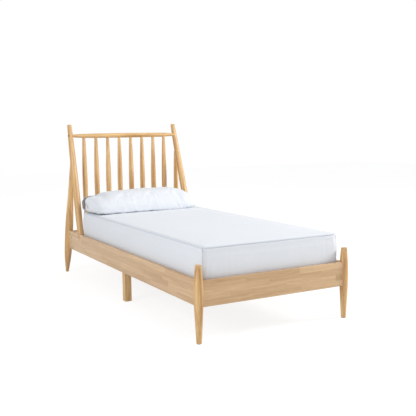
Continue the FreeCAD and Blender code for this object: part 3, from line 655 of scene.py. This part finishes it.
def corner_seam(sx, sy, material):
    """The upright seam that closes one corner of the fitted sheet. Its darker colour is painted shade, a grey
    line down the corner.
    """
    middle = (sheet_low + sheet_high) / 2
    half_w = (sheet_high.x - sheet_low.x) / 2
    half_l = (sheet_high.y - sheet_low.y) / 2
    path = []
    slant = SHEET_CORNER * (1 - math.sqrt(0.5))
    top = sheet_high.z - CROWN
    for drop, inset in profile(top - sheet_low.z, SHEET_GROOVE)[2:-2]:
        x = middle.x + sx * (half_w - inset - slant - 0.0004)
        y = middle.y + sy * (half_l - inset - slant - 0.0004)
        path.append(Vector((x, y, top - drop)))
    name = "fitted_sheet_corner_seam_%s_%s" % ("right" if sx > 0 else "left", "head" if sy > 0 else "foot")
    return tube(name, path, CORNER_SEAM_R, material, closed=False)


def fill_bottom(thing):
    """Closes the underside of a soft block."""
    mesh = bmesh.new()
    mesh.from_mesh(thing.data)
    open_edges = [edge for edge in mesh.edges if edge.is_boundary]
    bmesh.ops.contextual_create(mesh, geom=open_edges)
    mesh.to_mesh(thing.data)
    mesh.free()


# ---------------------------------------------------------------- pillow and pillowcase
CASE_STEPS = 58
CASE_AROUND = 76
CASE_SEAM = 0.22
CASE_SHRINK = 0.003
CROWN_ROOM = 0.007
HEM_R = 0.0013

# The left end: a flap round the front, and the back layer's lip behind the opening. Both start on
# points that the case has round its rim.
END_ROUND = 0.080
END_OVER = 0.004
FLAP_HALF = 21
FLAP_EDGE = -math.cos(2 * math.pi * FLAP_HALF / CASE_AROUND)
LIP_FIRST = 18 / CASE_AROUND
LIP_COLUMNS = 32
LIP_LAST = (18 + LIP_COLUMNS) / CASE_AROUND
LIP_ROWS = 6
LIP_REACH = 0.066

# The cloth simulation, and how far it may move a point out, in and along the case.
CLOTH_FRAMES = 12
CLOTH_SPARE = 0.085
CLOTH_PRESSURE = 4.0
CRUMPLE_CAP = 0.010
SINK_CAP = 0.003
SLIDE_CAP = 0.008
CALM_REACH = 0.13
SEAM_PIN = 0.4

CREASE_HEIGHT = 0.0046
FINE_CREASE_HEIGHT = 0.0020

PILLOW_SHRINK = 0.012
PILLOW_END = 0.97
PILLOW_STEPS = 40


def case_station(share):
    """Depth, rise above the seam and drop below it along the case, as shares of the fullest,
    from its open end at 0 to its sewn end at 1."""
    start = max(0.0, 1 - share / 0.26)
    end = max(0.0, (share - 0.56) / 0.44)
    depth = 1 - 0.13 * start ** 2 - 0.40 * end ** 4.0
    rise = (1 - 0.40 * start ** 2.2) * (0.90 + 0.10 * smooth_step(0.1, 0.6, share))
    rise *= max(0.0, 1 - end ** 5.0)
    drop = (1 - 0.04 * start) * max(0.0, 1 - 0.9 * end ** 5.0)
    return depth, rise, drop


def case_point(share, turn, shrink=0.0, scale=1.0):
    """One point of the case's form. turn goes once round: 0 front seam, 0.25 crown, 0.5 back
    seam, 0.75 underside. scale draws the ring towards its middle."""
    depth, rise, drop = case_station(share)
    width = case_high.x - case_low.x
    half = (case_high.y - case_low.y) / 2 * depth - shrink
    tall = case_high.z - case_low.z
    seam_z = case_low.z + tall * CASE_SEAM
    lift = (tall * (1 - CASE_SEAM) - CROWN_ROOM) * rise - shrink
    sink = tall * CASE_SEAM * drop - shrink
    angle = 2 * math.pi * turn
    c = math.cos(angle)
    s = math.sin(angle)
    y = half * math.copysign(abs(c) ** 0.90, c)
    if s >= 0:
        z = lift * s ** 0.84
    else:
        z = -sink * min(1.0, 1.18 * abs(s) ** 0.30)
    middle = (lift - sink) / 2
    return Vector((case_low.x + width * share, (case_low.y + case_high.y) / 2 - y * scale,
                   seam_z + middle + (z - middle) * scale))


def end_point(turn, angle, shrink=0.0):
    """A point of the rounded left end: angle runs from 0 at its rim to 90 at its middle."""
    share = END_ROUND / (case_high.x - case_low.x)
    scale = max(0.0, math.cos(math.radians(angle))) ** end_fullness(turn)
    place = case_point(share, turn, shrink, scale)
    place.x -= (END_ROUND + END_OVER - shrink * 0.5) * math.sin(math.radians(angle))
    return place


def end_fullness(turn):
    """How round the left end is on its way round: well rounded at the front, full behind."""
    return 0.26 + 0.46 * max(0.0, math.cos(2 * math.pi * (turn - 0.06)))


def ring_faces(rows, columns, closed):
    """The faces between neighbouring rows of a grid of points."""
    faces = []
    for i in range(rows - 1):
        for j in range(columns if closed else columns - 1):
            n = (j + 1) % columns
            a = i * columns
            b = (i + 1) * columns
            faces.append((a + j, a + n, b + n, b + j))
    return faces


def case_shell(name, material, last, shrink, steps):
    """The case's form from its left end's rim to its sewn end, as one open grid."""
    first = END_ROUND / (case_high.x - case_low.x)
    points = []
    for i in range(steps + 1):
        share = first + (last - first) * i / steps
        for j in range(CASE_AROUND):
            points.append(case_point(share, j / CASE_AROUND, shrink))
    return make_mesh(name, points, ring_faces(steps + 1, CASE_AROUND, True), material)


def turn_outward(thing):
    """Makes every face look out, as the pressure inside needs."""
    mesh = bmesh.new()
    mesh.from_mesh(thing.data)
    bmesh.ops.recalc_face_normals(mesh, faces=mesh.faces)
    middle = sum((v.co for v in mesh.verts), Vector()) / len(mesh.verts)
    facing = sum(face.normal.dot(face.calc_center_median() - middle) for face in mesh.faces)
    if facing < 0:
        bmesh.ops.reverse_faces(mesh, faces=mesh.faces)
    mesh.to_mesh(thing.data)
    mesh.free()


def crumple(thing, pinned):
    """Cloth simulation: the cloth has a little more length than its form, so that it creases
    as the filling pushes it out."""
    rest = [v.co.copy() for v in thing.data.vertices]
    group = thing.vertex_groups.new(name="pinned")
    for index, weight in pinned.items():
        group.add([index], weight, "REPLACE")
    modifier = thing.modifiers.new("cloth", "CLOTH")
    settings = modifier.settings
    settings.quality = 4
    settings.mass = 0.2
    settings.tension_stiffness = 25
    settings.compression_stiffness = 25
    settings.shear_stiffness = 12
    settings.bending_stiffness = 0.02
    settings.use_pressure = True
    settings.uniform_pressure_force = CLOTH_PRESSURE
    settings.shrink_min = -CLOTH_SPARE
    settings.effector_weights.gravity = 0
    settings.vertex_group_mass = "pinned"
    settings.pin_stiffness = 0.6
    modifier.collision_settings.use_collision = False
    modifier.collision_settings.use_self_collision = False
    modifier.point_cache.frame_start = 1
    modifier.point_cache.frame_end = CLOTH_FRAMES
    scene = bpy.context.scene
    for step in range(1, CLOTH_FRAMES + 1):
        scene.frame_set(step)
    apply_modifiers(thing)
    scene.frame_set(1)
    moved = [v.co.copy() for v in thing.data.vertices]
    for v, old in zip(thing.data.vertices, rest):
        v.co = old
    thing.data.update()
    outward = [v.normal.copy() for v in thing.data.vertices]
    for v, old, new, normal in zip(thing.data.vertices, rest, moved, outward):
        move = (new - old) * smooth_step(END_ROUND, END_ROUND + CALM_REACH, old.x - case_low.x)
        out = move.dot(normal)
        along = move - normal * out
        cap = CRUMPLE_CAP if out > 0 else SINK_CAP
        out = cap * math.tanh(out / cap)
        if along.length > 1e-6:
            along *= SLIDE_CAP * math.tanh(along.length / SLIDE_CAP) / along.length
        v.co = old + normal * out + along
    thing.data.update()


def crease(thing):
    """Small creases in the cloth, mostly running down from the crown to the seams."""
    for v in thing.data.vertices:
        place = v.co.copy()
        bend = Vector((ripple(place, 7, 3), ripple(place, 7, 5), ripple(place, 7, 8))) * 0.05
        stretched = Vector((place.x, place.y * 0.45, place.z * 0.6)) + bend
        ridge = 1 - abs(ripple(stretched, 21, 11)) * 2.6
        fine = 1 - abs(ripple(place + bend, 44, 17)) * 2.4
        patch = smooth_step(-0.35, 0.35, ripple(place, 6, 23))
        height = CREASE_HEIGHT * max(0.0, ridge) * (0.35 + 0.65 * patch)
        height += FINE_CREASE_HEIGHT * max(0.0, fine) * patch
        v.co += v.normal * height
    thing.data.update()


def settle(thing):
    """Presses flat what would sink into the surface below."""
    for v in thing.data.vertices:
        v.co.z = max(v.co.z, case_low.z + 0.0004)


def add_grid(thing, points, faces):
    """Joins a grid of points to a mesh, and welds it where they meet."""
    mesh = bmesh.new()
    mesh.from_mesh(thing.data)
    made = [mesh.verts.new(point) for point in points]
    for face in faces:
        mesh.faces.new([made[i] for i in face]).smooth = True
    bmesh.ops.remove_doubles(mesh, verts=mesh.verts, dist=0.0003)
    bmesh.ops.recalc_face_normals(mesh, faces=mesh.faces)
    mesh.to_mesh(thing.data)
    mesh.free()


def flap_half_turn(angle):
    """How far round from the front the flap reaches on one ring of the left end."""
    share = FLAP_EDGE / max(0.01, math.cos(math.radians(angle)) ** end_fullness(0.5))
    return 0.5 if share >= 1 else math.acos(-share) / (2 * math.pi)


def case_flap(case):
    """The case's turned-in flap. It closes the left end from the front and leaves a crescent
    open along the back."""
    angles = (0, 12, 24, 36, 47, 57, 66, 74, 80, 84, 86.5, 88, 89, 89.5, 89.8, 90)
    columns = 2 * FLAP_HALF
    points = []
    for angle in angles:
        half = flap_half_turn(angle)
        for j in range(columns + 1):
            turn = half * (2 * j / columns - 1)
            place = end_point(turn, angle, CASE_SHRINK)
            fold = math.sin(turn * 30 + 2.4 * ripple(place, 16, 2)) * math.sin(math.radians(2 * angle))
            place.x -= 0.0016 * fold * (1 - smooth_step(60, 85, angle))
            points.append(place)
    add_grid(case, points, ring_faces(len(angles), columns + 1, False))
    edge = []
    for sign in (-1, 1):
        run = [end_point(sign * flap_half_turn(a), a, CASE_SHRINK) for a in angles if flap_half_turn(a) < 0.5]
        edge += run if sign < 0 else run[::-1]
    return edge


def lip_reach(turn):
    """How far the back layer stands out past the left end's rim."""
    share = (turn - LIP_FIRST) / (LIP_LAST - LIP_FIRST)
    return LIP_REACH * max(0.0, math.sin(math.pi * share)) ** 0.55


def case_lip(case):
    """The back layer's free edge, which stands out at the left end's back and top."""
    first = END_ROUND / (case_high.x - case_low.x)
    points = []
    for i in range(LIP_ROWS + 1):
        for j in range(LIP_COLUMNS + 1):
            turn = LIP_FIRST + (LIP_LAST - LIP_FIRST) * j / LIP_COLUMNS
            place = case_point(first, turn, CASE_SHRINK)
            place.x -= lip_reach(turn) * i / LIP_ROWS
            place.z += 0.0025 * math.sin(turn * 29) * (i / LIP_ROWS) ** 2
            points.append(place)
    add_grid(case, points, ring_faces(LIP_ROWS + 1, LIP_COLUMNS + 1, False))
    return points[-LIP_COLUMNS - 1:]


def make_pillow():
    linen = cotton("white_cotton_case", COTTON, relief=0.0003)
    # The inner pillow's dark colour is painted shade, seen through the crescent that the flap leaves open.
    ticking = cotton("pillow_ticking", PILLOW_PAINTED_SHADE, weave=0.0014)
    case = case_shell("pillowcase_cloth", linen, 1.0, CASE_SHRINK, CASE_STEPS)
    pinned = {}
    for i in range(CASE_STEPS + 1):
        for j in range(CASE_AROUND):
            at_seam = j in (0, CASE_AROUND // 2)
            at_end = i == 0 or i == CASE_STEPS
            if at_seam or at_end:
                pinned[i * CASE_AROUND + j] = 1.0 if at_end else SEAM_PIN
    turn_outward(case)
    crumple(case, pinned)
    settle(case)
    flap_edge = case_flap(case)
    lip_edge = case_lip(case)
    subdivide(case)
    crease(case)
    settle(case)
    hems = [tube("pillowcase_flap_hem", flap_edge, HEM_R, linen, closed=False),
            tube("pillowcase_lip_hem", lip_edge, HEM_R, linen, closed=False)]
    pillow = case_shell("pillow_body", ticking, PILLOW_END, PILLOW_SHRINK, PILLOW_STEPS)
    angles = (0, 12, 24, 36, 48, 60, 70, 79, 86, 89, 90)
    cap = [end_point(j / CASE_AROUND, angle, PILLOW_SHRINK) for angle in angles for j in range(CASE_AROUND)]
    add_grid(pillow, cap, ring_faces(len(angles), CASE_AROUND, True))
    for piece in (case, *hems):
        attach(piece, "pillow")
    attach(pillow, "pillow")
    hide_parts("pillowcase")
    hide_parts("pillow")


# ---------------------------------------------------------------- stage and light
FLOOR_REACH = 14.0
FLOOR_PAINT = 0.84
FLOOR_GLOW = 1.2
FLOOR_GLOW_SHARE = 0.70
SKY = (0.97, 0.985, 1.0)
SKY_STRENGTH = 0.58
KEY_POWER = 250
FILL_POWER = 92
WARM = (1.0, 0.985, 0.96)


def make_stage():
    """A pale floor that shows as white to the camera and keeps the bed's shadow."""
    mesh = bpy.data.meshes.new("floor")
    corners = [(sx * FLOOR_REACH, sy * FLOOR_REACH, 0) for sx, sy in ((-1, -1), (1, -1), (1, 1), (-1, 1))]
    mesh.from_pydata(corners, [], [(0, 1, 2, 3)])
    floor = link("floor", mesh)
    t = Tree("floor_paint")
    path = t.tree.nodes.new("ShaderNodeLightPath")
    seen = t.math("MAXIMUM", path.outputs["Is Camera Ray"],
                  t.math("MAXIMUM", path.outputs["Is Glossy Ray"], path.outputs["Is Transmission Ray"]))
    paint = t.tree.nodes.new("ShaderNodeBsdfDiffuse")
    paint.inputs[0].default_value = (FLOOR_PAINT, FLOOR_PAINT, FLOOR_PAINT, 1)
    glow = t.tree.nodes.new("ShaderNodeEmission")
    glow.inputs[0].default_value = (1, 1, 1, 1)
    glow.inputs[1].default_value = FLOOR_GLOW
    part = t.math("MULTIPLY", seen, FLOOR_GLOW_SHARE)
    mixed = t.tree.nodes.new("ShaderNodeMixShader")
    t.fill(mixed.inputs[0], part)
    t.tree.links.new(paint.outputs[0], mixed.inputs[1])
    t.tree.links.new(glow.outputs[0], mixed.inputs[2])
    t.tree.links.new(mixed.outputs[0], t.output.inputs[0])
    mesh.materials.append(t.material)


def make_world():
    """Soft light from all round, and white behind the bed."""
    world = bpy.data.worlds.new("studio")
    bpy.context.scene.world = world
    world.use_nodes = True
    tree = world.node_tree
    tree.nodes.clear()
    output = tree.nodes.new("ShaderNodeOutputWorld")
    path = tree.nodes.new("ShaderNodeLightPath")
    seen = tree.nodes.new("ShaderNodeMath")
    seen.operation = "MAXIMUM"
    also = tree.nodes.new("ShaderNodeMath")
    also.operation = "MAXIMUM"
    tree.links.new(path.outputs["Is Camera Ray"], seen.inputs[0])
    tree.links.new(path.outputs["Is Glossy Ray"], also.inputs[0])
    tree.links.new(path.outputs["Is Transmission Ray"], also.inputs[1])
    tree.links.new(also.outputs[0], seen.inputs[1])
    lit = tree.nodes.new("ShaderNodeBackground")
    lit.inputs[0].default_value = (*SKY, 1)
    lit.inputs[1].default_value = SKY_STRENGTH
    white = tree.nodes.new("ShaderNodeBackground")
    white.inputs[0].default_value = (1, 1, 1, 1)
    white.inputs[1].default_value = 1.0
    mixed = tree.nodes.new("ShaderNodeMixShader")
    tree.links.new(seen.outputs[0], mixed.inputs[0])
    tree.links.new(lit.outputs[0], mixed.inputs[1])
    tree.links.new(white.outputs[0], mixed.inputs[2])
    tree.links.new(mixed.outputs[0], output.inputs[0])


def area_lamp(name, place, target, size, power, colour=(1, 1, 1)):
    data = bpy.data.lights.new(name, "AREA")
    data.shape = "DISK"
    data.size = size
    data.energy = power
    data.color = colour
    lamp = bpy.data.objects.new(name, data)
    bpy.context.collection.objects.link(lamp)
    lamp.location = place
    lamp.rotation_euler = (Vector(target) - Vector(place)).to_track_quat("-Z", "Y").to_euler()


def make_lights():
    area_lamp("key", (5.0, -2.3, 2.9), (0.1, 0.2, 0.6), 1.8, KEY_POWER, WARM)
    area_lamp("fill", (-4.6, -1.6, 3.0), (0.0, 0.3, 0.4), 2.8, FILL_POWER)


def finish_up():
    bpy.context.scene.view_settings.view_transform = "Standard"


make_camera()
make_stage()
make_world()
make_lights()
dress_frame()
make_mattress_and_sheet()
make_pillow()
finish_up()
